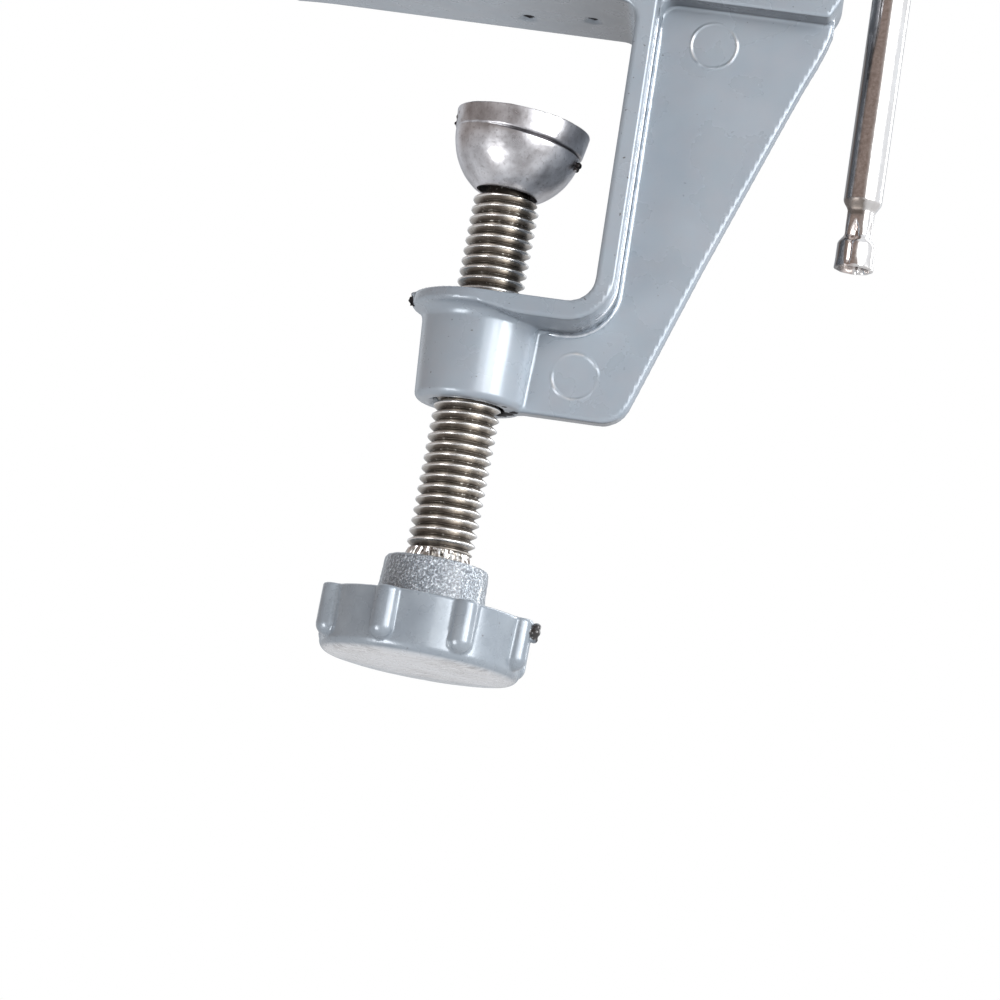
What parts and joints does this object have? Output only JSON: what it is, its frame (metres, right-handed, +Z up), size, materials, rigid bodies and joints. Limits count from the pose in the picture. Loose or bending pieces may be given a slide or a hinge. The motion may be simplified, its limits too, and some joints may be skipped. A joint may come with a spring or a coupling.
{
  "type": "clamp-on bench vise",
  "caption": "Small die-cast bench vise that clamps to a table edge, with a screw-driven sliding jaw, a sliding tommy bar, an anvil and a swivel-pad clamp screw.",
  "frame": {"origin": "on the bench face, the underside of the upper clamp arm, above the clamp screw's boss", "axes": "+Z up, away from the bench's top; +X towards the user's side, where the tommy bar hangs; +Y across the jaws"},
  "size_m": [0.0934, 0.04, 0.1199],
  "materials": {
    "cast_paint": "satin blue-grey coating over die casting",
    "bare_cast": "bare die casting, mottled",
    "plated_steel": "zinc plated, bright",
    "tommy_chrome": "bright nickel plate",
    "black_steel": "blackened, oiled"
  },
  "bodies": {
    "frame": {"frame_casting": "cast_paint", "fixed_jaw_plate": "plated_steel", "fixed_plate_screw_near": "black_steel", "fixed_plate_screw_far": "black_steel", "lead_nut_bush": "plated_steel", "bush_set_screw": "black_steel"},
    "sliding_jaw": {"sliding_jaw": "cast_paint", "sliding_jaw_plate": "plated_steel", "sliding_plate_screw_near": "black_steel", "sliding_plate_screw_far": "black_steel", "keeper_strip_near": "black_steel", "keeper_strip_far": "black_steel", "keeper_screw_rear_near": "black_steel", "keeper_screw_rear_far": "black_steel", "keeper_screw_front_near": "black_steel", "keeper_screw_front_far": "black_steel"},
    "lead_screw": {"lead_screw": "plated_steel", "thrust_washer": "plated_steel", "retaining_ring": "black_steel"},
    "tommy_bar": {"tommy_bar": "tommy_chrome"},
    "pad_carrier": {"pad_washer": "plated_steel"},
    "clamp_screw": {"clamp_screw": "plated_steel", "clamp_knob": "cast_paint"},
    "swivel_pad": {"swivel_pad": "bare_cast"}
  },
  "joints": [
    {"name": "lead_turn", "type": "hinge", "parent": "sliding_jaw", "child": "lead_screw", "pos_m": [0.036, 0, 0.019], "axis": [1, 0, 0], "range_deg": [-692.2, 7489]},
    {"name": "jaw_slide", "type": "slide", "parent": "frame", "child": "sliding_jaw", "axis": [1, 0, 0], "range_m": [-0.0024, 0.026]},
    {"name": "tommy_slide", "type": "slide", "parent": "lead_screw", "child": "tommy_bar", "axis": [0, 0, 1], "range_m": [0, 0.0317]},
    {"name": "clamp_travel", "type": "slide", "parent": "frame", "child": "pad_carrier", "axis": [0.0326, 0, 0.9995], "range_m": [-0.0115, 0.0124]},
    {"name": "clamp_turn", "type": "hinge", "parent": "pad_carrier", "child": "clamp_screw", "pos_m": [0, 0, -0.046], "axis": [0.0326, 0, 0.9995], "range_deg": [-3313, 3572.2]},
    {"name": "pad_tilt", "type": "hinge", "parent": "pad_carrier", "child": "swivel_pad", "pos_m": [0.00088, 0, -0.01901], "axis": [0, 1, 0], "range_deg": [-9.6, 4.4]}
  ],
  "couplings": [
    {"joint": "lead_turn", "follows": "jaw_slide", "rad_per_m": 5026.5},
    {"joint": "clamp_turn", "follows": "clamp_travel", "rad_per_m": 5026.5}
  ]
}
